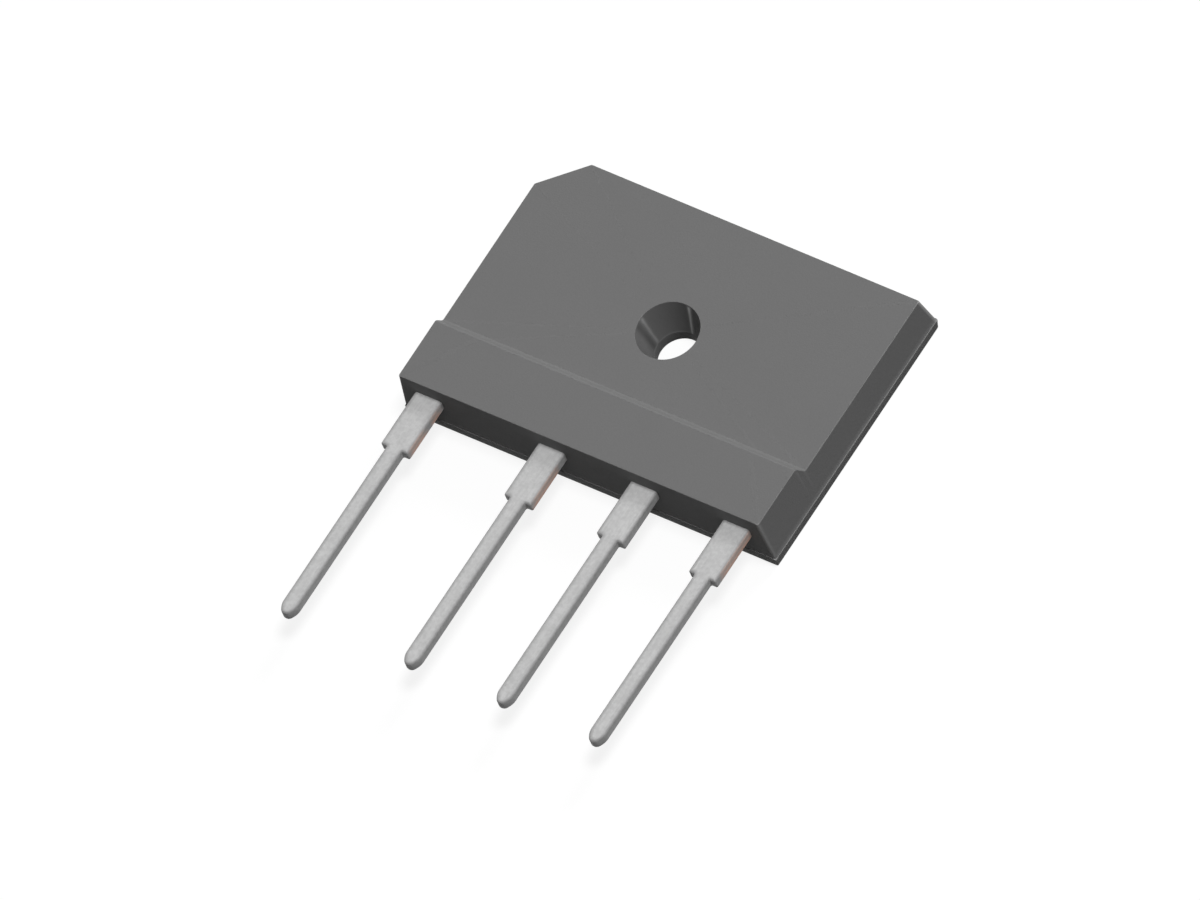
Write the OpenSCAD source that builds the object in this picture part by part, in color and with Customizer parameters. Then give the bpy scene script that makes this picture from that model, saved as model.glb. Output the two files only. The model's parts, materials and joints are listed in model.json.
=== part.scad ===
// Flat in-line bridge rectifier, lying on its back face.
// Origin: axis of the mounting hole, on the back face. +Z leaves the marked front face,
// +Y points away from the leads, and the four leads point towards -Y. Millimetres.

/* [Case] */
// Width of the case at its widest, on the parting line
case_width = 30.2; // [28.5:0.1:34]
// Height of the case on the parting line, from lead edge to top edge
case_height = 20.5; // [19.2:0.05:24]
// Thickness of the band along the lead edge
band_thickness = 4.6; // [4.3:0.1:6]
// Thickness of the plain plate above the band
plate_thickness = 3.6; // [3.3:0.1:4.2]
// Height of the parting line above the back face
parting_height = 0.85; // [0.7:0.05:1]
// Ledge on the parting line, where the front half of the mould is a little smaller
parting_ledge = 0.06; // [0.02:0.01:0.12]
// Height of the band on the front face
band_height = 4.72; // [4.2:0.02:6]
// How far the step between band and plate leans
step_run = 0.6; // [0.2:0.05:1]
// Leg of the polarity chamfer beside the positive lead
chamfer = 3.15; // [1:0.05:5]
// Draft of the left, right and chamfer walls, in degrees
side_draft = 6.5; // [1:0.5:9]
// Draft of the top wall, in degrees
top_draft = 8.5; // [1:0.5:10]
// Draft of the lead wall, in degrees
lead_wall_draft = 3; // [1:0.5:6]
// Draft of the left, right, top and chamfer walls below the parting line, in degrees
back_draft = 8.5; // [1:0.5:12]
// Draft of the lead wall below the parting line, in degrees
lead_wall_back_draft = 4; // [1:0.5:8]

/* [Mounting hole] */
// Distance from the hole axis to the lead edge of the case
hole_to_lead_edge = 11.1; // [10.7:0.05:12]
// Diameter of the straight land at the back
hole_diameter = 3.2; // [3:0.1:4]
// Diameter of the hole's mouth in the front face
mouth_diameter = 4.5; // [4.1:0.1:5]

/* [Leads] */
// Spacing from the positive lead to the first alternating lead
positive_pitch = 10; // [9.6:0.1:11]
// Spacing between the two alternating leads
ac_pitch = 7.5; // [7:0.1:8]
// Spacing from the second alternating lead to the negative lead
negative_pitch = 7.5; // [7:0.1:8]
// Thickness of the copper sheet that leads and plates are stamped from
sheet = 0.88; // [0.6:0.02:0.9]
// Height of the underside of the leads above the back face
lead_underside = 2.52; // [2.3:0.02:2.8]
// Width of the narrow lead
lead_width = 1.18; // [0.8:0.02:1.4]
// Length of the lead outside the case, to its tip
lead_length = 18.3; // [12:0.1:24]
// Width of the shoulder between case and narrow lead
shoulder_width = 2.16; // [1.6:0.02:2.6]
// Length of the shoulder outside the case
shoulder_length = 4.35; // [2:0.05:6]
// Length of the taper at the tip
tip_length = 0.6; // [0.3:0.05:1.5]
// Width of the tip's blunt nose
tip_width = 0.5; // [0.2:0.02:0.7]

/* [Lead frame] */
// Height of the underside of the plates above the back face
plate_underside = 0.85; // [0.7:0.05:1.1]
// Moulding compound between the plates and the case outline
frame_inset = 1.1; // [0.8:0.05:1.5]
// Gap between neighbouring plates
plate_gap = 1.0; // [0.8:0.05:1.2]
// Half the square around the hole that the plates stay out of
hole_keepout = 3.3; // [3:0.05:3.6]
// Width of the positive plate's arm along the left wall
arm_width = 2.8; // [2.4:0.1:3]
// How far a lead runs into the case before it bends down
bend_inset = 1.5; // [1.3:0.05:1.7]
// Slope of the bent stretch, in degrees
bend_angle = 50; // [45:1:60]
// Flat stretch of plate between the bend and the full plate width
bend_land = 0.1; // [0.05:0.01:0.2]
// Distance from the lead wall to the notches that lock a lead into the case
notch_inset = 0.4; // [0.3:0.05:0.5]
// Length of a lock notch
notch_length = 0.6; // [0.4:0.05:0.7]
// Depth of a lock notch
notch_depth = 0.35; // [0.2:0.05:0.5]

/* [Chips] */
// Side of the square diode chip
chip_side = 3.6; // [3:0.1:3.7]
// Thickness of the chip
chip_thickness = 0.28; // [0.22:0.01:0.35]
// Width of the groove cut round the chip's upper edge
mesa_width = 0.25; // [0.1:0.05:0.4]
// Depth of that groove
mesa_depth = 0.1; // [0.05:0.01:0.15]
// Thickness of a solder layer
solder = 0.05; // [0.03:0.01:0.08]
// Width of the solder left clear along each chip edge
solder_margin = 0.1; // [0.05:0.05:0.3]

/* [Clips] */
// Thickness of the copper clips
clip_sheet = 0.35; // [0.25:0.05:0.4]
// Width of the clips
clip_width = 2.2; // [1.6:0.1:2.6]
// Length of a clip's flat on its chip
clip_flat = 2.4; // [1.8:0.1:2.7]
// Length of a clip's foot on its plate
clip_foot = 1.6; // [1.2:0.1:1.8]
// How far a clip rises off its chip
clip_rise = 0.35; // [0.25:0.05:0.45]
// Distance from the end of a clip's foot to the edge of its plate
foot_margin = 0.3; // [0.2:0.05:0.4]

/* [Hidden] */

// Facets of a full turn, and how far a cutter runs past what it cuts
round_steps = 96;
past = 1;

// Case outline on the parting line, and on the foot of the front half of the mould
case_right = case_width / 2;
case_left = -case_right;
case_bottom = -hole_to_lead_edge;
case_top = case_bottom + case_height;
lead_wall_foot = case_bottom + parting_ledge;
front_bottom = lead_wall_foot + (band_thickness - parting_height) * tan(lead_wall_draft);
step_foot = front_bottom + band_height;
step_head = step_foot + step_run;

// Lead centres: the outer leads stand at equal distances from the hole axis
lead_row = positive_pitch + ac_pitch + negative_pitch;
positive_x = -lead_row / 2;
ac_left_x = positive_x + positive_pitch;
ac_right_x = ac_left_x + ac_pitch;
negative_x = ac_right_x + negative_pitch;

// Lead stations along Y
lead_exit = lead_wall_foot + (lead_underside + sheet / 2 - parting_height) * tan(lead_wall_draft);
lead_tip = lead_exit - lead_length;
shoulder_end = lead_exit - shoulder_length;
bend_start = lead_exit + bend_inset;
bend_end = bend_start + (lead_underside - plate_underside) / tan(bend_angle);
plate_bottom = bend_end + sheet * tan(bend_angle / 2) + bend_land;

// Plate edges
frame_right = case_right - frame_inset;
frame_left = -frame_right;
frame_top = case_top - frame_inset;
arm_right = frame_left + arm_width;
ac_left_plate_left = arm_right + plate_gap;
ac_left_plate_right = (ac_left_x + ac_right_x - plate_gap) / 2;
ac_right_plate_left = ac_left_plate_right + plate_gap;
ac_right_plate_right = (ac_right_x + negative_x) / 2 - plate_gap / 2;
negative_plate_left = ac_right_plate_right + plate_gap;
positive_row_bottom = hole_keepout;
row_top = positive_row_bottom - plate_gap;
plate_face = plate_underside + sheet;

// Chip centres, in plan
upper_y = (positive_row_bottom + frame_top) / 2;
lower_y = (plate_bottom - hole_keepout) / 2;
left_x = (ac_left_plate_left - hole_keepout) / 2;
right_x = (hole_keepout + ac_right_plate_right) / 2;
POSITIVE_LEFT = [left_x, upper_y];
POSITIVE_RIGHT = [right_x, upper_y];
NEGATIVE_LEFT = [ac_left_x, lower_y];
NEGATIVE_RIGHT = [ac_right_x, lower_y];

// Levels of the stack on a plate, from the plate's face up
chip_underside = plate_face + solder;
chip_face = chip_underside + chip_thickness;
clip_underside = chip_face + solder;
clip_foot_underside = plate_face + solder;
clip_bridge = clip_underside + clip_rise;

// Clip stations: feet of the two upright clips, and of the common negative clip
upright_foot_y = row_top - foot_margin - clip_foot;
negative_foot_x = (negative_plate_left + frame_right - clip_foot) / 2;

// ---------- functions ----------

function unit(v) = v / norm(v);

function left_of(v) = [-v[1], v[0]];

// Corner of a sheet's upper face above the bend at point b of its lower face
function mitre(a, b, c, t) =
    let (n1 = left_of(unit(b - a)), n2 = left_of(unit(c - b)))
    b + (n1 + n2) * t / (1 + n1 * n2);

// Section of a sheet of thickness t whose lower face follows the path
function sheet_section(path, t) =
    let (
        last = len(path) - 1,
        first_up = path[0] + left_of(unit(path[1] - path[0])) * t,
        last_up = path[last] + left_of(unit(path[last] - path[last - 1])) * t,
        bends_up = [for (i = [last - 1:-1:1]) mitre(path[i - 1], path[i], path[i + 1], t)]
    )
    concat(path, [last_up], bends_up, [first_up]);

// Section of a clip that rises from flat a at height za, crosses level, and comes down to flat b at zb.
// The ramps lie at 45 degrees, so each is as long as it is high.
function bridge_path(a0, a1, za, b0, b1, zb, top) = [
    [a0, za], [a1, za], [a1 + (top - za), top],
    [b0 - (top - zb), top], [b0, zb], [b1, zb]
];

// Distance of a drafted wall from the hole axis at height z, for a wall that is widest on the parting line
function wall_at(z, widest, front, back) =
    z > parting_height
        ? widest - parting_ledge - (z - parting_height) * tan(front)
        : widest - (parting_height - z) * tan(back);

// ---------- case ----------

// Profile of a wall with its ledge, running back to distance inner
module wall_profile(inner, widest, front, back) {
    low = -past;
    high = band_thickness + past;
    polygon([
        [inner, low],
        [wall_at(low, widest, front, back), low],
        [widest, parting_height],
        [widest - parting_ledge, parting_height],
        [wall_at(high, widest, front, back), high],
        [inner, high]
    ]);
}

// Half-space inside one drafted wall that faces the plan angle
module inside_wall(angle, widest, front, back) {
    reach = case_width + case_height;
    rotate([0, 0, angle])
        rotate([90, 0, 0])
            linear_extrude(height = 2 * reach, center = true)
                wall_profile(-reach, widest, front, back);
}

// Band, step and plate seen along X, before the walls cut it
module front_form() {
    reach = case_width + case_height;
    rotate([90, 0, 90])
        linear_extrude(height = 2 * reach, center = true)
            polygon([
                [-reach, 0],
                [reach, 0],
                [reach, plate_thickness],
                [step_head, plate_thickness],
                [step_foot, band_thickness],
                [-reach, band_thickness]
            ]);
}

module case_form() {
    chamfer_distance = (case_right + case_top - chamfer) / sqrt(2);
    intersection() {
        front_form();
        inside_wall(0, case_right, side_draft, back_draft);
        inside_wall(90, case_top, top_draft, back_draft);
        inside_wall(135, chamfer_distance, side_draft, back_draft);
        inside_wall(180, case_right, side_draft, back_draft);
        inside_wall(270, -case_bottom, lead_wall_draft, lead_wall_back_draft);
    }
}

// Straight land up to the parting line, then a drafted mouth
module mounting_hole() {
    land_radius = hole_diameter / 2;
    mouth_radius = mouth_diameter / 2;
    flare = (mouth_radius - land_radius) / (plate_thickness - parting_height);
    translate([0, 0, -past])
        cylinder(h = past + parting_height, r = land_radius, $fn = round_steps);
    translate([0, 0, parting_height])
        cylinder(
            h = plate_thickness + past - parting_height,
            r1 = land_radius,
            r2 = mouth_radius + flare * past,
            $fn = round_steps
        );
}

module epoxy_case() {
    color("#727272")
        difference() {
            case_form();
            mounting_hole();
            lead_positive();
            lead_ac_left();
            lead_ac_right();
            lead_negative();
            for (at = [POSITIVE_LEFT, POSITIVE_RIGHT, NEGATIVE_LEFT, NEGATIVE_RIGHT]) {
                chip_solder(at);
                chip(at);
                clip_solder(at);
            }
            clip_left();
            clip_right();
            clip_negative();
            foot_solder_left();
            foot_solder_right();
            foot_solder_negative();
        }
}

// ---------- leads ----------

module slab(x0, x1, y0, y1, z0, z1) {
    translate([x0, y0, z0])
        cube([x1 - x0, y1 - y0, z1 - z0]);
}

// Narrow lead with its tapered tip, from the tip to the shoulder
module narrow_lead(x) {
    half = lead_width / 2;
    nose = tip_width / 2;
    translate([x, 0, lead_underside])
        linear_extrude(height = sheet)
            polygon([
                [-half, shoulder_end],
                [-half, lead_tip + tip_length],
                [-nose, lead_tip],
                [nose, lead_tip],
                [half, lead_tip + tip_length],
                [half, shoulder_end]
            ]);
}

// The pair of notches in a lead's edges that lock it into the case
module lock_notches(x) {
    y0 = lead_exit + notch_inset;
    bottom = shoulder_width / 2 - notch_depth;
    top = shoulder_width / 2 + past;
    for (side = [0, 1])
        translate([x, 0, 0])
            mirror([side, 0, 0])
                slab(bottom, top, y0, y0 + notch_length, plate_underside, lead_underside + sheet + past);
}

// Shoulder, its run into the case and the bend down to the plate
module shoulder_and_bend(x) {
    path = [
        [shoulder_end, lead_underside],
        [bend_start, lead_underside],
        [bend_end, plate_underside],
        [plate_bottom, plate_underside]
    ];
    translate([x, 0, 0])
        rotate([90, 0, 90])
            linear_extrude(height = shoulder_width, center = true)
                polygon(sheet_section(path, sheet));
}

module plate(outline) {
    translate([0, 0, plate_underside])
        linear_extrude(height = sheet)
            polygon(outline);
}

// A whole lead: narrow lead, shoulder with its lock notches, bend, and plate
module stamped_lead(x, outline) {
    color("#c2c2c2")
        union() {
            narrow_lead(x);
            difference() {
                shoulder_and_bend(x);
                lock_notches(x);
            }
            plate(outline);
        }
}

// The positive plate runs up the left wall and along the whole top edge.
// Its chamfered corner lies frame_inset inside the case's chamfer.
module lead_positive() {
    corner = chamfer + frame_inset * (sqrt(2) - 2);
    stamped_lead(
        positive_x,
        [
            [frame_left, plate_bottom],
            [arm_right, plate_bottom],
            [arm_right, positive_row_bottom],
            [frame_right, positive_row_bottom],
            [frame_right, frame_top],
            [frame_left + corner, frame_top],
            [frame_left, frame_top - corner]
        ]
    );
}

module lead_ac_left() {
    stamped_lead(
        ac_left_x,
        [
            [ac_left_plate_left, plate_bottom],
            [ac_left_plate_right, plate_bottom],
            [ac_left_plate_right, -hole_keepout],
            [-hole_keepout, -hole_keepout],
            [-hole_keepout, row_top],
            [ac_left_plate_left, row_top]
        ]
    );
}

module lead_ac_right() {
    stamped_lead(
        ac_right_x,
        [
            [ac_right_plate_left, plate_bottom],
            [ac_right_plate_right, plate_bottom],
            [ac_right_plate_right, row_top],
            [hole_keepout, row_top],
            [hole_keepout, -hole_keepout],
            [ac_right_plate_left, -hole_keepout]
        ]
    );
}

module lead_negative() {
    stamped_lead(
        negative_x,
        [
            [negative_plate_left, plate_bottom],
            [frame_right, plate_bottom],
            [frame_right, row_top],
            [negative_plate_left, row_top]
        ]
    );
}

// ---------- chips ----------

// A square block of side s centred on a point in plan
module square_block(at, s, z, h) {
    slab(at[0] - s / 2, at[0] + s / 2, at[1] - s / 2, at[1] + s / 2, z, z + h);
}

// Silicon chip: a full base, and a smaller face inside its edge groove
module chip(at) {
    base = chip_thickness - mesa_depth;
    color("#5b5f66")
        union() {
            square_block(at, chip_side, chip_underside, base);
            square_block(at, chip_side - 2 * mesa_width, chip_underside + base, mesa_depth);
        }
}

module chip_solder(at) {
    color("#b4b6b8")
        square_block(at, chip_side - 2 * solder_margin, plate_face, solder);
}

module clip_solder(at) {
    color("#b4b6b8")
        square_block(at, clip_width - 2 * solder_margin, chip_face, solder);
}

module chip_positive_left() { chip(POSITIVE_LEFT); }
module chip_positive_right() { chip(POSITIVE_RIGHT); }
module chip_negative_left() { chip(NEGATIVE_LEFT); }
module chip_negative_right() { chip(NEGATIVE_RIGHT); }

module chip_solder_positive_left() { chip_solder(POSITIVE_LEFT); }
module chip_solder_positive_right() { chip_solder(POSITIVE_RIGHT); }
module chip_solder_negative_left() { chip_solder(NEGATIVE_LEFT); }
module chip_solder_negative_right() { chip_solder(NEGATIVE_RIGHT); }

module clip_solder_positive_left() { clip_solder(POSITIVE_LEFT); }
module clip_solder_positive_right() { clip_solder(POSITIVE_RIGHT); }
module clip_solder_negative_left() { clip_solder(NEGATIVE_LEFT); }
module clip_solder_negative_right() { clip_solder(NEGATIVE_RIGHT); }

// ---------- clips ----------

// An upright clip joins a chip on the positive plate to the plate below it
module upright_clip(at) {
    path = bridge_path(
        upright_foot_y, upright_foot_y + clip_foot, clip_foot_underside,
        at[1] - clip_flat / 2, at[1] + clip_flat / 2, clip_underside,
        clip_bridge
    );
    color("#b87a4b")
        translate([at[0], 0, 0])
            rotate([90, 0, 90])
                linear_extrude(height = clip_width, center = true)
                    polygon(sheet_section(path, clip_sheet));
}

module clip_left() { upright_clip(POSITIVE_LEFT); }
module clip_right() { upright_clip(POSITIVE_RIGHT); }

// The negative clip lies across both lower chips and comes down on the negative plate
module clip_negative() {
    half = clip_flat / 2;
    first = bridge_path(
        ac_left_x - half, ac_left_x + half, clip_underside,
        ac_right_x - half, ac_right_x + half, clip_underside,
        clip_bridge
    );
    second = bridge_path(
        ac_right_x - half, ac_right_x + half, clip_underside,
        negative_foot_x, negative_foot_x + clip_foot, clip_foot_underside,
        clip_bridge
    );
    path = concat(first, [for (i = [2:5]) second[i]]);
    color("#b87a4b")
        translate([0, lower_y, 0])
            rotate([90, 0, 0])
                linear_extrude(height = clip_width, center = true)
                    polygon(sheet_section(path, clip_sheet));
}

// Solder under a clip's foot, which starts at [x0, y0] and has the given plan size
module foot_solder(x0, y0, length_x, length_y) {
    color("#b4b6b8")
        slab(
            x0 + solder_margin, x0 + length_x - solder_margin,
            y0 + solder_margin, y0 + length_y - solder_margin,
            plate_face, clip_foot_underside
        );
}

module foot_solder_left() {
    foot_solder(left_x - clip_width / 2, upright_foot_y, clip_width, clip_foot);
}

module foot_solder_right() {
    foot_solder(right_x - clip_width / 2, upright_foot_y, clip_width, clip_foot);
}

module foot_solder_negative() {
    foot_solder(negative_foot_x, lower_y - clip_width / 2, clip_foot, clip_width);
}

// ---------- nodes ----------

epoxy_case();
lead_positive();
lead_ac_left();
lead_ac_right();
lead_negative();
chip_positive_left();
chip_positive_right();
chip_negative_left();
chip_negative_right();
chip_solder_positive_left();
chip_solder_positive_right();
chip_solder_negative_left();
chip_solder_negative_right();
clip_left();
clip_right();
clip_negative();
clip_solder_positive_left();
clip_solder_positive_right();
clip_solder_negative_left();
clip_solder_negative_right();
foot_solder_left();
foot_solder_right();
foot_solder_negative();
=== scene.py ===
import json
import math

import bmesh
import bpy
import numpy as np
from mathutils import Matrix, Vector


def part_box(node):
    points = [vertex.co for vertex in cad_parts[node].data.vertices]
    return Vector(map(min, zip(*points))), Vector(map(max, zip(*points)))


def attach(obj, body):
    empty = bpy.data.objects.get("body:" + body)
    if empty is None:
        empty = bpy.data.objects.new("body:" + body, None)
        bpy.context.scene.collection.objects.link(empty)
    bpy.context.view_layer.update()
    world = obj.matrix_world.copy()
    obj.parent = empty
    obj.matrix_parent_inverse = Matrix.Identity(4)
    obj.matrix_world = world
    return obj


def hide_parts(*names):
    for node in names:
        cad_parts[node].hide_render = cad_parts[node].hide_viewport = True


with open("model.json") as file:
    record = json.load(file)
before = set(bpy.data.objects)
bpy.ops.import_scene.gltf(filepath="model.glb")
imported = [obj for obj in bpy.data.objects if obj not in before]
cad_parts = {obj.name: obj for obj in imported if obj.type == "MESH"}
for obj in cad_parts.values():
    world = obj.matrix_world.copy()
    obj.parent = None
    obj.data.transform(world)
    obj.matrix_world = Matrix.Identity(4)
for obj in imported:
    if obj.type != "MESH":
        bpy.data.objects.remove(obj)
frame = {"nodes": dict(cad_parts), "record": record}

# Flat in-line bridge rectifier on a pale studio floor. Lengths are in millimetres until a mesh is made.
MM = 0.001
WELD_DISTANCE = 0.001
SLIVER_LENGTH = 0.0005
SHARP_ANGLE = math.radians(32.0)
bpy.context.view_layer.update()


def corners_of(node):
    """Lowest and highest corner of a CAD node, in millimetres."""
    low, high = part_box(node)
    return np.array(low) / MM, np.array(high) / MM


# ---------- sizes of the case ----------

case_low, case_high = corners_of("epoxy_case")
BAND_TOP = case_high[2]
PLATE_TOP = 3.6
STEP = BAND_TOP - PLATE_TOP
PARTING = 0.85
LEDGE = 0.06
BAND_HEIGHT = 4.72
STEP_RUN = 0.6
CHAMFER = 3.15
# The walls in turn: lead edge, right, top, chamfer, left
WALL_FACING = np.radians([270.0, 0.0, 90.0, 135.0, 180.0])
FRONT_DRAFT = np.radians([3.0, 6.5, 8.5, 6.5, 6.5])
BACK_DRAFT = np.radians([4.0, 8.5, 8.5, 8.5, 8.5])
WALL_NORMAL = np.stack([np.cos(WALL_FACING), np.sin(WALL_FACING)], axis=1)
CHAMFER_REACH = (case_high[0] + case_high[1] - CHAMFER) / math.sqrt(2)
WALL_REACH = np.array([-case_low[1], case_high[0], case_high[1], CHAMFER_REACH, -case_low[0]])
LEAD_WALL_TOP = case_low[1] + LEDGE + (BAND_TOP - PARTING) * math.tan(FRONT_DRAFT[0])
STEP_FOOT = LEAD_WALL_TOP + BAND_HEIGHT
STEP_HEAD = STEP_FOOT + STEP_RUN

HOLE_RADIUS = 1.6
MOUTH_RADIUS = 2.25

# Radii of the mould's small roundings
FRONT_ROUND = 0.06
BACK_ROUND = 0.04
PARTING_ROUND = 0.02
CORNER_ROUND = 0.13
FOOT_ROUND = 0.10
CORNER_FADE = 0.16
STEP_ROUND = 0.12
HOLE_ROUND = 0.03

# How finely the case's grid is cut: points on a rounding, and columns on the walls
ARC_STEPS = 6
STEP_LINE_STEPS = 5
LEAD_WALL_COLUMNS = 70
TOP_WALL_COLUMNS = 100
CHAMFER_COLUMNS = 8
BAND_SIDE_COLUMNS = 4
PLATE_SIDE_COLUMNS = 24
# Height over the parting line of the one row that the walls have between their roundings
WALL_ROW = 0.4

# Painted highlight along the moulding's lines: how far the colour is made paler
PAINTED_EDGE_HIGHLIGHT = 0.6
PAINTED_CORNER_HIGHLIGHT = 2.2
PAINTED_STEP_HIGHLIGHT = 0.5
PAINTED_PARTING_HIGHLIGHT = 1.3
PAINTED_LAND_HIGHLIGHT = 0.9
# Round an upright corner the painted highlight goes from the first share to the second, by the square of the
# turn
CORNER_HIGHLIGHT_SHARES = 1.1, 0.4

# Lines left by the hole's core pin: facing, half width and how far a painted highlight makes them paler
PIN_LINES = [(178.0, 3.8, 1.9), (82.8, 5.0, 4.1), (265.0, 3.8, 1.9), (355.0, 3.8, 1.9)]
PIN_LINE_HEIGHT = 0.04
# Rows down the hole's cone, the distance of the rows beside the start of its straight land, and the lengths
# over which the pin's lines fade out at the land and at the mouth
CONE_LEVELS = np.array([3.5, 3.38, 2.7, 1.9, 1.2, 1.02, 0.94])
LAND_ROW = 0.03
LAND_FADE = 0.1
MOUTH_FADE = 0.15
# Painted shade on stretches of the hole beside them: facing, half width and depth of the painted shade
PIN_SHADES = [(192.0, 8.0, 0.7), (241.0, 22.0, 0.5), (9.0, 9.0, 0.6)]


# ---------- sizes of the leads ----------

SHEET = 0.88
LEAD_UNDERSIDE = 2.52
PLATE_UNDERSIDE = 0.85
NARROW_HALF = 0.59
SHOULDER_HALF = 1.08
SHOULDER_LENGTH = 4.35
TIP_LENGTH = 0.6
TIP_HALF = 0.25
NOTCH_INSET = 0.4
NOTCH_LENGTH = 0.6
NOTCH_DEPTH = 0.35
BEND_INSET = 1.5
BEND_ANGLE = math.radians(50.0)
BEND_LAND = 0.1
PLATE_GAP = 1.0
EDGE_ROUND = 0.18
EDGE_LAND = 0.16
EDGE_STEPS = 5
# How far the outline's corners are cut back before they are rounded, in plan
TIP_CUT = 0.24
TAPER_CUT = 0.3
SHOULDER_CUT = 0.12
NOTCH_CUT = 0.1
PLATE_CUT = 0.2
LEAST_CUT = 0.02
# Painted shade along a lead's rounded upper edges, how far the tin is darkened, from the side face to the
# top face
PAINTED_SHADE_LEFT = np.array([0.10, 0.13, 0.155, 0.18, 0.21])
PAINTED_SHADE_RIGHT = np.array([0.12, 0.27, 0.34, 0.30, 0.09])
# Width round a lead's middle over which the left edge's painted shade goes over to the right edge's
PAINTED_SHADE_CHANGE = 0.6
LEAD_EXIT = case_low[1] + LEDGE + (LEAD_UNDERSIDE + SHEET / 2 - PARTING) * math.tan(FRONT_DRAFT[0])
# Levels of y between which the copper shows on the side of a shoulder
BARE_STRETCHES = {"lead_positive": [(-14.9, -13.1), (-12.3, -11.4)], "lead_ac_left": [(-15.0, -12.2)],
                  "lead_ac_right": [], "lead_negative": [(-14.4, -10.9)]}
LEAD_X = {"lead_positive": -12.5, "lead_ac_left": -2.5, "lead_ac_right": 5.0, "lead_negative": 12.5}


# ---------- camera, light and floor ----------

CAMERA_AZIMUTH = 53.83
CAMERA_ELEVATION = 54.37
CAMERA_ROLL = 25.43
CAMERA_DISTANCE = 300.0
VIEW_WIDTH = 79.43
VIEW_CENTRE = (-2.337, -7.495, -1.818)
AMBIENT = 0.11
# Strength of each lamp, and the direction that it shines from
OVERHEAD = 2.26, (0.315, 0.09, 0.945)
REAR = 0.94, (0.12, 0.80, 0.58)
LAMP_ANGLE = math.radians(18.0)
FLOOR_HALF = 400.0
FLOOR_LEVEL = -0.02
# The floor's glow and colour where it is seen, and its colour as it lights the object
FLOOR_GLOW = 0.86
FLOOR_PALE = 0.16
FLOOR_BOUNCE = 0.04


# ---------- meshes ----------

def lattice(rows, columns, closed_rows, closed_columns):
    """Quads (i, j), (i, j+1), (i+1, j+1), (i+1, j) over a grid of points, row by row."""
    i = np.arange(rows if closed_rows else rows - 1)[:, None]
    j = np.arange(columns if closed_columns else columns - 1)[None, :]
    i_next, j_next = (i + 1) % rows, (j + 1) % columns
    quads = np.stack(np.broadcast_arrays(i * columns + j, i * columns + j_next,
                                         i_next * columns + j_next, i_next * columns + j), axis=-1)
    return quads.reshape(-1, 4)


def piece_from(name, points, faces, attributes=()):
    """A closed piece from points in millimetres: seams welded, and flat faces kept flat in shading."""
    mesh = bpy.data.meshes.new(name)
    mesh.from_pydata((np.asarray(points) * MM).tolist(), [], faces)
    for label, values in attributes:
        layer = mesh.attributes.new(label, "FLOAT", "POINT")
        layer.data.foreach_set("value", np.asarray(values, np.float32).ravel())
    welder = bmesh.new()
    welder.from_mesh(mesh)
    bmesh.ops.remove_doubles(welder, verts=welder.verts, dist=WELD_DISTANCE * MM)
    bmesh.ops.dissolve_degenerate(welder, edges=welder.edges, dist=SLIVER_LENGTH * MM)
    welder.to_mesh(mesh)
    welder.free()
    mesh.validate()
    mesh.polygons.foreach_set("use_smooth", np.ones(len(mesh.polygons), bool))
    mesh.set_sharp_from_angle(angle=SHARP_ANGLE)
    piece = bpy.data.objects.new(name, mesh)
    bpy.context.scene.collection.objects.link(piece)
    weigh = piece.modifiers.new("flat faces stay flat", "WEIGHTED_NORMAL")
    weigh.keep_sharp = True
    weigh.weight = 100
    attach(piece, "root")
    return piece


# ---------- the case ----------

def soft_ramp(x, half):
    """max(x, 0) with its corner rounded: (x + c)^2 / 4c while |x| < c."""
    return np.where(np.abs(x) < half, (x + half) ** 2 / (4 * half), np.maximum(x, 0))


def step_lift(y):
    """Height of the front face over the plate: STEP / run * (r(head - y) - r(foot - y)), r a soft ramp."""
    slope = STEP / STEP_RUN
    return slope * (soft_ramp(STEP_HEAD - y, STEP_ROUND) - soft_ramp(STEP_FOOT - y, STEP_ROUND))


def wall_rounding(draft, reach_at_parting, radius, centre_height, start, end):
    """Rounding that touches every wall: reach = c + r cos(a), height = h + r sin(a), a from start to end.

    The wall line is reach cos(g) + height sin(g) = k for a signed draft g, so
    c = (k - r - h sin(g)) / cos(g).
    """
    k = reach_at_parting * np.cos(draft) + PARTING * np.sin(draft)
    c = (k - radius - centre_height * np.sin(draft)) / np.cos(draft)
    a = start + (end - start) * np.linspace(0, 1, ARC_STEPS)[:, None]
    return c + radius * np.cos(a), centre_height + radius * np.sin(a)


def wall_profile():
    """Reach and height of the five walls, row by row from the back face to the front face, and which rows
    rise with the step. Each row has one value per wall."""
    down, up = np.full(5, -math.pi / 2), np.full(5, math.pi / 2)
    crease, edge = PARTING - PARTING_ROUND, PLATE_TOP - FRONT_ROUND
    back = wall_rounding(-BACK_DRAFT, WALL_REACH, BACK_ROUND, BACK_ROUND, down, -BACK_DRAFT)
    parting = wall_rounding(-BACK_DRAFT, WALL_REACH, PARTING_ROUND, crease, -BACK_DRAFT, up)
    above = np.array([[0.0], [WALL_ROW]])
    foot = WALL_REACH - LEDGE - above * np.tan(FRONT_DRAFT), PARTING + above + np.zeros((2, 5))
    front = wall_rounding(FRONT_DRAFT, WALL_REACH - LEDGE, FRONT_ROUND, edge, FRONT_DRAFT, up)
    reach, height = (np.concatenate(part) for part in zip(back, parting, foot, front))
    rises = np.arange(len(reach)) >= 2 * ARC_STEPS + 2
    return reach, height, rises[:, None].astype(float)


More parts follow.
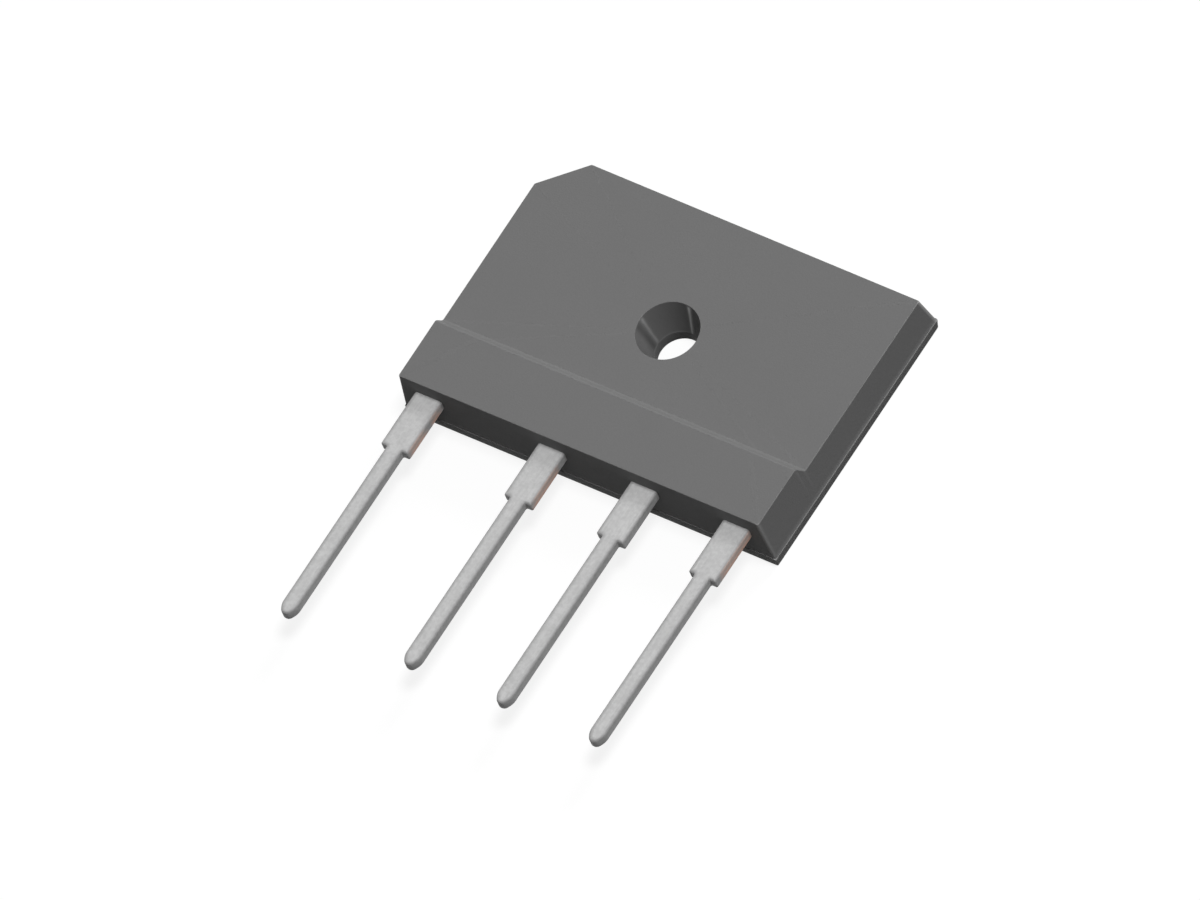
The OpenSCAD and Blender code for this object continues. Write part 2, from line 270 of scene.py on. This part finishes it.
def corner_arcs(reach, height, rises):
    """The five upright corners as arcs, p = q + r (cos f, sin f), f from one wall's facing to the next.

    q is where the two walls' lines n.p = reach - r cross, and r is smaller below the parting line. Returns
    points by row, corner and step of the arc.
    """
    radius = np.where(np.arange(len(reach)) < 2 * ARC_STEPS, FOOT_ROUND, CORNER_ROUND)[:, None]
    here, after = np.arange(5), np.roll(np.arange(5), -1)
    lift = np.array([STEP, 0, 0, 0, STEP])
    lean = rises * lift
    a = reach[:, here] - lean * np.tan(FRONT_DRAFT[here]) - radius
    b = reach[:, after] - lean * np.tan(FRONT_DRAFT[after]) - radius
    cosine = np.sum(WALL_NORMAL[here] * WALL_NORMAL[after], axis=1)
    q = (a - b * cosine)[..., None] * WALL_NORMAL[here] + (b - a * cosine)[..., None] * WALL_NORMAL[after]
    q = q / (1 - cosine ** 2)[:, None]
    t = np.linspace(0, 1, ARC_STEPS)
    turn = (WALL_FACING[after] - WALL_FACING[here]) % (2 * math.pi)
    facing = WALL_FACING[here][:, None] + turn[:, None] * t
    xy = q[:, :, None] + radius[..., None, None] * np.stack([np.cos(facing), np.sin(facing)], axis=-1)
    z = height[:, here, None] * (1 - t) + height[:, after, None] * t + lean[:, :, None]
    return np.concatenate([xy, z[..., None]], axis=-1)


def wall_columns(wall, shares, start, end, reach, height, rises):
    """Points of one flat wall: the line from start to end in equal parts, then set on the wall's plane
    n.p = reach - lift tan(draft), with height + lift."""
    shares = np.asarray(shares)[None, :, None]
    xy = start[:, None, :2] * (1 - shares) + end[:, None, :2] * shares
    lift = rises * step_lift(xy[..., 1])
    target = reach[:, wall, None] - lift * math.tan(FRONT_DRAFT[wall])
    normal = WALL_NORMAL[wall]
    xy = xy + normal * (target - xy @ normal)[..., None]
    z = height[:, wall, None] + lift
    return np.concatenate([xy, z[..., None]], axis=-1)


def step_lines():
    """Levels of y across the step: both of its edges, each with the stretch that is rounded."""
    spread = STEP_ROUND * np.linspace(-1, 1, STEP_LINE_STEPS)
    return np.concatenate([STEP_FOOT + spread, STEP_HEAD + spread])


def side_shares(low, high):
    """Places of the columns on a side wall between two levels of y, as shares of the way up."""
    lines = step_lines()
    below = np.linspace(low, lines[0], BAND_SIDE_COLUMNS + 2)[1:-1]
    above = np.linspace(lines[-1], high, PLATE_SIDE_COLUMNS + 2)[1:-1]
    levels = np.concatenate([[low + CORNER_FADE], below, lines, above, [high - CORNER_FADE]])
    return (levels - low) / (high - low)


def even_shares(length, count):
    """Places of count even columns, and of one column CORNER_FADE from either end."""
    near = CORNER_FADE / length
    return np.concatenate([[near], np.linspace(0, 1, count + 2)[1:-1], [1 - near]])


def case_walls():
    """Grid of the case's outside, rows from the back face to the front face, columns counter-clockwise
    round it from the left end of the step. Also returns how many columns lie on the band's side of the step,
    and the share of painted highlight that each column gets, above 0 only on the rounding of an upright
    corner."""
    profile = wall_profile()
    arcs = corner_arcs(*profile)
    start, end = np.roll(arcs, 1, axis=1)[:, :, -1], arcs[:, :, 0]
    right = side_shares(start[-1, 1, 1], end[-1, 1, 1])
    left = 1 - side_shares(end[-1, 4, 1], start[-1, 4, 1])[::-1]
    length = np.linalg.norm((end - start)[-1, :, :2], axis=-1)
    shares = [even_shares(length[0], LEAD_WALL_COLUMNS), right, even_shares(length[2], TOP_WALL_COLUMNS),
              even_shares(length[3], CHAMFER_COLUMNS), left]
    runs = [wall_columns(w, shares[w], start[:, w], end[:, w], *profile) for w in range(5)]
    columns = np.concatenate([np.concatenate([runs[w], arcs[:, w]], axis=1) for w in range(5)], axis=1)
    tail = ARC_STEPS + 1 + BAND_SIDE_COLUMNS + len(step_lines())
    band_columns = 2 * tail + len(shares[0])
    # Painted highlight down the rounding of each upright corner
    into = CORNER_HIGHLIGHT_SHARES[0] + (CORNER_HIGHLIGHT_SHARES[1] - CORNER_HIGHLIGHT_SHARES[0]) * np.linspace(0, 1, ARC_STEPS) ** 2
    corners = np.concatenate([np.append(np.zeros(len(shares[w])), into) for w in range(5)])
    return np.roll(columns, tail, axis=1), band_columns, np.roll(corners, tail)


def step_rows(edge, band_columns):
    """Rows of the front face along the step's lines: x runs evenly from end to end of line y, by the length
    gone round the band's edge. Columns that lie above a line stay on the edge. Also returns which points lie
    on their line."""
    gone = np.concatenate([[0], np.cumsum(np.linalg.norm(np.diff(edge[:, :2], axis=0), axis=1))])
    lines = step_lines()
    column = np.arange(len(edge))
    first = len(lines) - 1 - np.arange(len(lines))[:, None]
    last = band_columns - 1 - first
    share = (gone[None, :] - gone[first]) / (gone[last] - gone[first])
    x = edge[first, 0] * (1 - share) + edge[last, 0] * share
    on_line = (column >= first) & (column <= last)
    x = np.where(on_line, x, edge[None, :, 0])
    y = np.where(on_line, lines[:, None], edge[None, :, 1])
    return np.stack([x, y, PLATE_TOP + step_lift(y)], axis=-1), (column > first) & (column < last)


def bell(angle, centre, half):
    """exp(-(d / half)^2), d the turn in degrees from the centre, between -180 and 180."""
    d = (np.degrees(angle) - centre + 180) % 360 - 180
    return np.exp(-(d / half) ** 2)


def hole_rows(facing):
    """Rows down the hole, (r cos f, r sin f, z): a rounded mouth, the cone, the straight land, and a rounded
    back edge. On the cone the pin's lines stand in by PIN_LINE_HEIGHT bell(f). Also returns the painted
    light of each point: painted highlight, and painted shade where that is below 0."""
    cone = math.atan2(MOUTH_RADIUS - HOLE_RADIUS, PLATE_TOP - PARTING)
    k = HOLE_RADIUS * math.cos(cone) - PARTING * math.sin(cone)
    h = PLATE_TOP - HOLE_ROUND
    c = (k + HOLE_ROUND + h * math.sin(cone)) / math.cos(cone)
    a = np.linspace(math.pi / 2, cone, ARC_STEPS)
    mouth = np.stack([c - HOLE_ROUND * np.cos(a), h + HOLE_ROUND * np.sin(a)], axis=1)
    line = np.stack([HOLE_RADIUS + (CONE_LEVELS - PARTING) * math.tan(cone), CONE_LEVELS], axis=1)
    land = np.array([[HOLE_RADIUS + LAND_ROW * math.tan(cone), PARTING + LAND_ROW],
                     [HOLE_RADIUS, PARTING], [HOLE_RADIUS, PARTING - LAND_ROW]])
    a = np.linspace(0, -math.pi / 2, ARC_STEPS)
    back = np.stack([HOLE_RADIUS + HOLE_ROUND - HOLE_ROUND * np.cos(a),
                     HOLE_ROUND + HOLE_ROUND * np.sin(a)], axis=1)
    radius, z = np.concatenate([mouth, line, land, back]).T[:, :, None]
    pin = sum(bell(facing, centre, half) for centre, half, depth in PIN_LINES)
    # Painted highlight on the pin's lines, and painted shade beside them
    pale = sum(depth * bell(facing, centre, half) for centre, half, depth in PIN_LINES)
    painted_shade = sum(depth * bell(facing, centre, half) for centre, half, depth in PIN_SHADES)
    over_land = z - PARTING - LAND_ROW
    on_cone = np.clip(over_land / LAND_FADE, 0, 1) * np.clip((h - z) / MOUTH_FADE, 0, 1)
    radius = radius - PIN_LINE_HEIGHT * on_cone * pin
    # Painted light of each point: painted highlight on the pin's lines and at the land, less the painted
    # shade
    painted_light = on_cone * (pale - painted_shade) + PAINTED_LAND_HIGHLIGHT * np.clip(1 - np.abs(over_land) / LAND_FADE, 0, 1)
    points = np.stack([radius * np.cos(facing), radius * np.sin(facing),
                       np.broadcast_to(z, radius.shape)], axis=-1)
    return points, painted_light


def epoxy_case():
    """The moulded case as one grid closed both ways: up the walls, over the front face, down the hole and
    back."""
    walls, band_columns, corners = case_walls()
    step, on_step = step_rows(walls[-1], band_columns)
    hole, hole_painted_light = hole_rows(np.arctan2(step[-1, :, 1], step[-1, :, 0]))
    grid = np.concatenate([walls, step, hole])
    rows, columns = grid.shape[:2]
    # edge holds each point's painted light: painted highlight above 0, painted shade below 0
    edge = np.zeros((rows, columns))
    edge[1:len(walls) - 1] = PAINTED_CORNER_HIGHLIGHT * corners
    # Painted highlight across each rounded edge: the back face, the front face and the hole's mouth
    arc = PAINTED_EDGE_HIGHLIGHT * np.sin(np.linspace(0, math.pi, ARC_STEPS))[:, None]
    over_step = np.minimum(np.arange(len(step)), np.arange(len(step))[::-1]).clip(0, 2) / 2
    top_of_hole = len(walls) + len(step)
    edge[len(walls):top_of_hole] = PAINTED_STEP_HIGHLIGHT * over_step[:, None] * on_step
    for first, highlight_rows in ((0, arc), (len(walls) - ARC_STEPS, arc), (top_of_hole, arc),
                       (2 * ARC_STEPS, np.array([[PAINTED_PARTING_HIGHLIGHT], [0]]))):
        span = slice(first, first + len(highlight_rows))
        edge[span] = np.maximum(edge[span], highlight_rows)
    edge[top_of_hole:] += hole_painted_light
    case = piece_from("moulded_case", grid.reshape(-1, 3), lattice(rows, columns, True, True).tolist(),
                      [("painted_light", edge)])
    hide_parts("epoxy_case")
    return case


# ---------- the leads ----------

def rounded(corners, cuts, steps=5):
    """Outline with rounded corners: V + (1-t)^2 c a + t^2 c b, t from 0 to 1, where a and b point from
    corner V to its neighbours. A corner with cut 0 stays one point."""
    before = np.roll(corners, 1, axis=0) - corners
    after = np.roll(corners, -1, axis=0) - corners
    before = before * (cuts / np.linalg.norm(before[:, :2], axis=1))[:, None]
    after = after * (cuts / np.linalg.norm(after[:, :2], axis=1))[:, None]
    t = np.linspace(0, 1, steps)[None, :, None]
    arcs = corners[:, None] + (1 - t) ** 2 * before[:, None] + t ** 2 * after[:, None]
    keep = (cuts > 0)[:, None] | (np.arange(steps) == 0)
    return arcs[keep]


def inward(outline):
    """Vectors that move each point of an outline one unit in from both of its edges, -(m + n) / (1 + m.n),
    with m and n the outward normals of the edges before and after it, and the tangent of half its turn,
    (m x n) / (1 + m.n)."""
    along = np.roll(outline, -1, axis=0) - outline
    after = np.stack([along[:, 1], -along[:, 0]], axis=1)
    after = after / np.linalg.norm(after, axis=1)[:, None]
    before = np.roll(after, 1, axis=0)
    spread = 1 + np.sum(before * after, axis=1)
    turn = (before[:, 0] * after[:, 1] - before[:, 1] * after[:, 0]) / spread
    return -(before + after) / spread[:, None], turn


def plate_outlines():
    """Each plate's outline seen from the front, from the right of its lead round to the left of it."""
    positive_low, positive_high = corners_of("lead_positive")
    left_low, left_high = corners_of("lead_ac_left")
    right_low, right_high = corners_of("lead_ac_right")
    negative_low, negative_high = corners_of("lead_negative")
    row_top = left_high[1]
    keepout = row_top + PLATE_GAP
    arm = left_low[0] - PLATE_GAP
    inset = case_high[0] - positive_high[0]
    corner = CHAMFER + inset * (math.sqrt(2) - 2)
    bottom = LEAD_EXIT + BEND_INSET + (LEAD_UNDERSIDE - PLATE_UNDERSIDE) / math.tan(BEND_ANGLE)
    bottom += SHEET * math.tan(BEND_ANGLE / 2) + BEND_LAND
    return bottom, {
        "lead_positive": [
            (arm, bottom), (arm, keepout), (positive_high[0], keepout),
            (positive_high[0], positive_high[1]), (positive_low[0] + corner, positive_high[1]),
            (positive_low[0], positive_high[1] - corner),
            (positive_low[0], bottom)],
        "lead_ac_left": [
            (left_high[0], bottom), (left_high[0], -keepout), (-keepout, -keepout), (-keepout, row_top),
            (left_low[0], row_top), (left_low[0], bottom)],
        "lead_ac_right": [
            (right_high[0], bottom), (right_high[0], row_top), (keepout, row_top), (keepout, -keepout),
            (right_low[0], -keepout), (right_low[0], bottom)],
        "lead_negative": [
            (negative_high[0], bottom), (negative_high[0], row_top),
            (negative_low[0], row_top), (negative_low[0], bottom)]}


def stamped_lead(node, plate_bottom, plate):
    """A stamped lead: its outline carried up the sheet's edge, inset e(a) = r (1 - cos a) at both faces.

    Each corner is (x, y, drop, lean): drop is 0 outside the case and 1 on the plate, and lean is 1 on the
    bend lines, where the upper face lies SHEET tan(bend / 2) further in than the lower face.
    """
    x0 = LEAD_X[node]
    tip = corners_of(node)[0][1]
    shoulder = LEAD_EXIT - SHOULDER_LENGTH
    notch = LEAD_EXIT + NOTCH_INSET
    bend_start = LEAD_EXIT + BEND_INSET
    bend_end = bend_start + (LEAD_UNDERSIDE - PLATE_UNDERSIDE) / math.tan(BEND_ANGLE)
    notched = SHOULDER_HALF - NOTCH_DEPTH
    # half width, y, drop, lean and corner cut up the right side of the lead
    side = np.array([
        (TIP_HALF, tip, 0, 0, TIP_CUT),
        (NARROW_HALF, tip + TIP_LENGTH, 0, 0, TAPER_CUT),
        (NARROW_HALF, shoulder, 0, 0, SHOULDER_CUT),
        (SHOULDER_HALF, shoulder, 0, 0, SHOULDER_CUT),
        (SHOULDER_HALF, notch, 0, 0, SHOULDER_CUT),
        (notched, notch, 0, 0, NOTCH_CUT),
        (notched, notch + NOTCH_LENGTH, 0, 0, NOTCH_CUT),
        (SHOULDER_HALF, notch + NOTCH_LENGTH, 0, 0, SHOULDER_CUT),
        (SHOULDER_HALF, bend_start, 0, 1, 0),
        (SHOULDER_HALF, bend_end, 1, 1, 0),
        (SHOULDER_HALF, plate_bottom, 1, 0, 0)])
    right = side + [x0, 0, 0, 0, 0]
    left = (side * [-1, 1, 1, 1, 1] + [x0, 0, 0, 0, 0])[::-1]
    flat = np.array([(x, y, 1, 0, PLATE_CUT) for x, y in plate])
    corners = np.concatenate([right, flat, left])
    move, turn = inward(corners[:, :2])
    a = np.linspace(0, math.pi / 2, EDGE_STEPS)
    inset = np.append(EDGE_ROUND * (1 - np.cos(a)), EDGE_ROUND + EDGE_LAND)
    fall = np.append(EDGE_ROUND * (1 - np.sin(a)), 0)
    inset = np.concatenate([inset[::-1], inset])
    level = np.concatenate([fall[::-1], SHEET - fall])
    upper = np.arange(len(level)) >= len(fall)
    rings = []
    for step_in in inset:
        ring = corners[:, :4].copy()
        ring[:, :2] += step_in * move
        cuts = np.maximum(corners[:, 4] - step_in * turn, LEAST_CUT)
        rings.append(rounded(ring, np.where(corners[:, 4] > 0, cuts, 0)))
    outline = np.stack(rings)
    x = outline[..., 0]
    y = outline[..., 1] + SHEET * math.tan(BEND_ANGLE / 2) * outline[..., 3] * upper[:, None]
    z = LEAD_UNDERSIDE - (LEAD_UNDERSIDE - PLATE_UNDERSIDE) * outline[..., 2] + level[:, None]
    grid = np.stack([x, y, z], axis=-1)
    rows, columns = grid.shape[:2]
    i1, i2, i3, i4 = np.flatnonzero(outline[0, :, 3] == 1)
    ring = np.arange(columns)
    caps = [np.concatenate([ring[i4:], ring[:i1 + 1]]), ring[[i1, i2, i3, i4]], ring[i2:i3 + 1]]
    top = [(cap + (rows - 1) * columns).tolist() for cap in caps]
    bottom = [cap[::-1].tolist() for cap in caps]
    faces = lattice(rows, columns, False, True).tolist() + top + bottom
    across = np.broadcast_to(x - x0, (rows, columns))
    # Painted shade along the lead's rounded upper edges, from the left edge's share to the right edge's
    upper_edge = slice(len(fall), len(fall) + EDGE_STEPS)
    share = np.clip(0.5 + across[upper_edge] / PAINTED_SHADE_CHANGE, 0, 1)
    painted_edge_shade = np.zeros((rows, columns))
    painted_edge_shade[upper_edge] = PAINTED_SHADE_LEFT[:, None] * (1 - share) + PAINTED_SHADE_RIGHT[:, None] * share
    lead = piece_from("tinned_" + node, grid.reshape(-1, 3), faces, [("across", across), ("painted_edge_shade", painted_edge_shade)])
    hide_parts(node)
    return lead


# ---------- materials ----------

class Finish:
    """A node material, built step by step round one Principled shader, on Object coordinates in mm."""

    def __init__(self, name, colour, roughness, metallic=0.0, specular=0.5):
        self.material = bpy.data.materials.new(name)
        self.material.use_nodes = True
        self.nodes = self.material.node_tree.nodes
        self.links = self.material.node_tree.links
        self.shader = self.nodes["Principled BSDF"]
        self.shader.inputs["Base Color"].default_value = (*colour, 1)
        self.shader.inputs["Roughness"].default_value = roughness
        self.shader.inputs["Metallic"].default_value = metallic
        self.shader.inputs["Specular IOR Level"].default_value = specular
        place = self.nodes.new("ShaderNodeTexCoord").outputs["Object"]
        self.place = self.vector("MULTIPLY", place, (1 / MM,) * 3)

    def put(self, value, socket):
        """A link where the value is another node's socket, and otherwise a constant."""
        if isinstance(value, bpy.types.NodeSocket):
            self.links.new(value, socket)
        else:
            socket.default_value = value

    def vector(self, operation, a, b):
        node = self.nodes.new("ShaderNodeVectorMath")
        node.operation = operation
        self.put(a, node.inputs[0])
        self.put(b, node.inputs[1])
        return node.outputs[0]

    def math(self, operation, a, b=0.0, clamp=False):
        node = self.nodes.new("ShaderNodeMath")
        node.operation = operation
        node.use_clamp = clamp
        self.put(a, node.inputs[0])
        self.put(b, node.inputs[1])
        return node.outputs[0]

    def noise(self, size, detail=2.0, stretch=(1, 1, 1)):
        """Noise from 0 to 1 whose grains are about size mm across."""
        node = self.nodes.new("ShaderNodeTexNoise")
        node.inputs["Scale"].default_value = 1 / size
        node.inputs["Detail"].default_value = detail
        self.put(self.vector("MULTIPLY", self.place, stretch), node.inputs["Vector"])
        return node.outputs["Fac"]

    def ramp(self, value, low, high, out_low=0.0, out_high=1.0):
        """Value taken linearly from low..high to out_low..out_high, and held outside it."""
        node = self.nodes.new("ShaderNodeMapRange")
        self.put(value, node.inputs["Value"])
        node.inputs["From Min"].default_value = low
        node.inputs["From Max"].default_value = high
        node.inputs["To Min"].default_value = out_low
        node.inputs["To Max"].default_value = out_high
        return node.outputs["Result"]

    def mix(self, share, a, b, blend="MIX"):
        node = self.nodes.new("ShaderNodeMix")
        node.data_type = "RGBA"
        node.blend_type = blend
        self.put(share, node.inputs["Factor"])
        self.put(a if isinstance(a, bpy.types.NodeSocket) else (*a, 1), node.inputs[6])
        self.put(b if isinstance(b, bpy.types.NodeSocket) else (*b, 1), node.inputs[7])
        return node.outputs[2]

    def attribute(self, label):
        node = self.nodes.new("ShaderNodeAttribute")
        node.attribute_name = label
        return node.outputs["Fac"]

    def axis(self, index):
        node = self.nodes.new("ShaderNodeSeparateXYZ")
        self.put(self.place, node.inputs[0])
        return node.outputs[index]

    def colour(self, socket):
        self.put(socket, self.shader.inputs["Base Color"])

    def roughness(self, socket):
        self.put(socket, self.shader.inputs["Roughness"])

    def bump(self, height, depth):
        """Relief of the given depth in mm."""
        node = self.nodes.new("ShaderNodeBump")
        node.inputs["Strength"].default_value = 1.0
        node.inputs["Distance"].default_value = depth * MM
        self.put(height, node.inputs["Height"])
        self.put(node.outputs["Normal"], self.shader.inputs["Normal"])


COLOUR = {material["slot"]: material["base_color"] for material in frame["record"]["materials"]}


def shade(colour, factor):
    return tuple(c * factor for c in colour)


def epoxy_finish():
    """Filled epoxy from a spark-eroded mould: grey, matte, finely grained, with a painted highlight along
    its edges and lines, and painted shade in places in the hole.
    """
    grey = COLOUR["epoxy"]
    finish = Finish("moulded epoxy", grey, 0.62, specular=0.1)
    cloud, grain = finish.noise(3.5, 3), finish.noise(0.11, 3)
    colour = finish.mix(finish.ramp(cloud, 0.3, 0.7), shade(grey, 1.01), shade(grey, 1.04))
    speck = finish.ramp(grain, 0.25, 0.75)
    colour = finish.mix(speck, shade(grey, 0.95), colour)
    # Painted light from the mesh: painted highlight where above 0, made patchy by noise, and painted shade
    # below 0
    painted_light = finish.attribute("painted_light")
    patchy_highlight = finish.math("MULTIPLY", painted_light, finish.ramp(finish.noise(0.9), 0.3, 0.6, 0.4, 0.52))
    colour = finish.mix(patchy_highlight, colour, shade(grey, 1.8))
    # A stronger painted highlight where the painted light is above 2.2, mostly on the pin's brightest line
    colour = finish.mix(finish.ramp(painted_light, 2.2, 4.2), colour, shade(grey, 4.2))
    # Painted shade where the painted light is below 0
    painted_shade = finish.math("MULTIPLY", painted_light, -1.0, clamp=True)
    finish.colour(finish.mix(painted_shade, colour, shade(grey, 0.5)))
    finish.roughness(finish.ramp(grain, 0.3, 0.7, 0.55, 0.72))
    finish.bump(grain, 0.012)
    return finish.material


def tin_finish(name, bare=()):
    """Matte tin plating, mottled and faintly drawn along the lead. Where a lead was trimmed from its strip
    after plating, the copper shows through on the cut side of its shoulder along stretches of y, most along
    the lower edge."""
    tin = COLOUR["tinned_copper"]
    finish = Finish(name, tin, 0.5, metallic=0.05, specular=0.15)
    drawn = finish.noise(0.12, 3, stretch=(1, 0.06, 1))
    cloud = finish.noise(1.2, 2)
    colour = finish.mix(finish.ramp(drawn, 0.3, 0.7), shade(tin, 0.985), shade(tin, 1.1))
    colour = finish.mix(finish.ramp(cloud, 0.35, 0.65, 0.0, 0.5), colour, shade(tin, 0.95))
    mottled = finish.ramp(finish.noise(0.25), 0.38, 0.62)
    colour = finish.mix(mottled, colour, (0.9, 0.9, 0.9), blend="MULTIPLY")
    # Painted shade on the rounded upper edges: the colour is mixed towards black
    colour = finish.mix(finish.attribute("painted_edge_shade"), colour, (0, 0, 0))
    side = finish.ramp(finish.attribute("across"), SHOULDER_HALF - 0.07, SHOULDER_HALF - 0.01)
    low = finish.ramp(finish.axis(2), LEAD_UNDERSIDE + 0.2 * SHEET, LEAD_UNDERSIDE + 0.6 * SHEET, 1.0, 0.4)
    cut_side = finish.math("MULTIPLY", side, low)
    thin_plating = tuple(0.8 * c + 0.55 * t for c, t in zip(COLOUR["copper"], tin))
    for start, end in bare:
        ragged = finish.math("ADD", finish.axis(1), finish.ramp(cloud, 0.3, 0.7, -0.3, 0.3))
        started = finish.ramp(ragged, start - 0.3, start + 0.3)
        stretch = finish.math("MULTIPLY", started, finish.ramp(ragged, end - 0.3, end + 0.3, 1.0, 0.0))
        colour = finish.mix(finish.math("MULTIPLY", stretch, cut_side), colour, thin_plating)
    finish.colour(colour)
    finish.roughness(finish.ramp(drawn, 0.3, 0.7, 0.42, 0.58))
    finish.bump(drawn, 0.006)
    return finish.material


def copper_finish():
    """Bare stamped copper with a drawn grain and a little tarnish."""
    copper = COLOUR["copper"]
    finish = Finish("stamped copper", copper, 0.4, metallic=0.9)
    drawn = finish.noise(0.1, 3, stretch=(0.08, 0.08, 1))
    tarnish = finish.noise(0.8, 3)
    colour = finish.mix(finish.ramp(drawn, 0.3, 0.7), shade(copper, 0.85), shade(copper, 1.05))
    finish.colour(finish.mix(finish.ramp(tarnish, 0.5, 0.75, 0.0, 0.6), colour, shade(copper, 0.6)))
    finish.roughness(finish.ramp(tarnish, 0.3, 0.7, 0.32, 0.5))
    return finish.material


def silicon_finish():
    """Lapped silicon: dark blue grey with fine lapping marks."""
    dark = COLOUR["silicon"]
    finish = Finish("lapped silicon", dark, 0.25, specular=0.6)
    lapped = finish.noise(0.06, 4)
    finish.colour(finish.mix(finish.ramp(lapped, 0.3, 0.7), shade(dark, 0.8), shade(dark, 1.25)))
    finish.roughness(finish.ramp(lapped, 0.3, 0.7, 0.18, 0.36))
    return finish.material


def solder_finish():
    """Reflowed solder: satin, with a faint grain of crystals."""
    grey = COLOUR["solder"]
    finish = Finish("reflowed solder", grey, 0.35, metallic=0.9)
    crystals = finish.noise(0.18, 2)
    finish.colour(finish.mix(finish.ramp(crystals, 0.35, 0.65), shade(grey, 0.85), shade(grey, 1.08)))
    finish.roughness(finish.ramp(crystals, 0.3, 0.7, 0.28, 0.45))
    return finish.material


def wear(piece, material):
    piece.data.materials.clear()
    piece.data.materials.append(material)


# ---------- the studio ----------

def seen_directly(tree):
    """1 for camera, glossy and transmission rays, else 0: their largest."""
    path = tree.nodes.new("ShaderNodeLightPath")
    share = path.outputs["Is Camera Ray"]
    for kind in ("Is Glossy Ray", "Is Transmission Ray"):
        larger = tree.nodes.new("ShaderNodeMath")
        larger.operation = "MAXIMUM"
        tree.links.new(share, larger.inputs[0])
        tree.links.new(path.outputs[kind], larger.inputs[1])
        share = larger.outputs[0]
    return share


def studio_world():
    """White where it is seen, and a weak even light on the object."""
    world = bpy.data.worlds.new("studio")
    world.use_nodes = True
    tree = world.node_tree
    tree.nodes.clear()
    light, seen = tree.nodes.new("ShaderNodeBackground"), tree.nodes.new("ShaderNodeBackground")
    light.inputs["Color"].default_value = (1, 1, 1, 1)
    light.inputs["Strength"].default_value = AMBIENT
    seen.inputs["Color"].default_value = (1, 1, 1, 1)
    seen.inputs["Strength"].default_value = 1.0
    mix, out = tree.nodes.new("ShaderNodeMixShader"), tree.nodes.new("ShaderNodeOutputWorld")
    tree.links.new(seen_directly(tree), mix.inputs[0])
    tree.links.new(light.outputs[0], mix.inputs[1])
    tree.links.new(seen.outputs[0], mix.inputs[2])
    tree.links.new(mix.outputs[0], out.inputs[0])
    bpy.context.scene.world = world


def studio_floor():
    """Pale floor: it glows nearly white where it is seen, keeps the object's soft shadow, and throws little
    light back up."""
    x, y = FLOOR_HALF * np.array([-1, 1, 1, -1]), FLOOR_HALF * np.array([-1, -1, 1, 1])
    points = np.stack([x, y, np.full(4, FLOOR_LEVEL)], axis=1)
    mesh = bpy.data.meshes.new("studio_floor")
    mesh.from_pydata((points * MM).tolist(), [], [(0, 1, 2, 3)])
    floor = bpy.data.objects.new("studio_floor", mesh)
    bpy.context.scene.collection.objects.link(floor)
    material = bpy.data.materials.new("pale floor")
    material.use_nodes = True
    tree = material.node_tree
    tree.nodes.clear()
    glow, pale, dim = (tree.nodes.new(kind) for kind in
                       ("ShaderNodeEmission", "ShaderNodeBsdfDiffuse", "ShaderNodeBsdfDiffuse"))
    glow.inputs["Strength"].default_value = FLOOR_GLOW
    pale.inputs["Color"].default_value = (*(FLOOR_PALE,) * 3, 1)
    dim.inputs["Color"].default_value = (*(FLOOR_BOUNCE,) * 3, 1)
    both, mix, out = (tree.nodes.new(kind) for kind in
                      ("ShaderNodeAddShader", "ShaderNodeMixShader", "ShaderNodeOutputMaterial"))
    tree.links.new(glow.outputs[0], both.inputs[0])
    tree.links.new(pale.outputs[0], both.inputs[1])
    tree.links.new(seen_directly(tree), mix.inputs[0])
    tree.links.new(dim.outputs[0], mix.inputs[1])
    tree.links.new(both.outputs[0], mix.inputs[2])
    tree.links.new(mix.outputs[0], out.inputs[0])
    mesh.materials.append(material)


def studio_lamp(name, strength, shines_from):
    """A broad, far lamp."""
    lamp = bpy.data.lights.new(name, "SUN")
    lamp.energy = strength
    lamp.angle = LAMP_ANGLE
    holder = bpy.data.objects.new(name, lamp)
    holder.rotation_mode = "QUATERNION"
    holder.rotation_quaternion = Vector(shines_from).to_track_quat("Z", "Y")
    bpy.context.scene.collection.objects.link(holder)


def studio_camera():
    """Parallel view. f = (-sin a cos e, cos a cos e, -sin e); the view's axes are turned by the roll r:
    right = cos r (cos a, sin a, 0) - sin r u0 and up = sin r (cos a, sin a, 0) + cos r u0."""
    a, e, r = (math.radians(angle) for angle in (CAMERA_AZIMUTH, CAMERA_ELEVATION, CAMERA_ROLL))
    forward = Vector((-math.sin(a) * math.cos(e), math.cos(a) * math.cos(e), -math.sin(e)))
    level = Vector((math.cos(a), math.sin(a), 0))
    upright = level.cross(forward)
    right = math.cos(r) * level - math.sin(r) * upright
    up = math.sin(r) * level + math.cos(r) * upright
    camera = bpy.data.cameras.new("camera")
    camera.type = "ORTHO"
    camera.ortho_scale = VIEW_WIDTH * MM
    camera.clip_start, camera.clip_end = 0.01, 10.0
    holder = bpy.data.objects.new("camera", camera)
    turn = Matrix((right, up, -forward)).transposed().to_4x4()
    place = Vector(VIEW_CENTRE) - forward * CAMERA_DISTANCE
    holder.matrix_world = Matrix.Translation(place * MM) @ turn
    bpy.context.scene.collection.objects.link(holder)
    bpy.context.scene.camera = holder


case = epoxy_case()
wear(case, epoxy_finish())
plate_bottom, plates = plate_outlines()
tin = {node: tin_finish("tin, " + node, BARE_STRETCHES[node]) for node in plates}
for node, plate in plates.items():
    wear(stamped_lead(node, plate_bottom, plate), tin[node])
solder, silicon, copper = solder_finish(), silicon_finish(), copper_finish()
for node, piece in frame["nodes"].items():
    if "solder" in node:
        wear(piece, solder)
    elif node.startswith("chip"):
        wear(piece, silicon)
    elif node.startswith("clip"):
        wear(piece, copper)

studio_world()
studio_floor()
studio_lamp("overhead lamp", *OVERHEAD)
studio_lamp("rear lamp", *REAR)
studio_camera()
bpy.context.scene.view_settings.view_transform = "Standard"
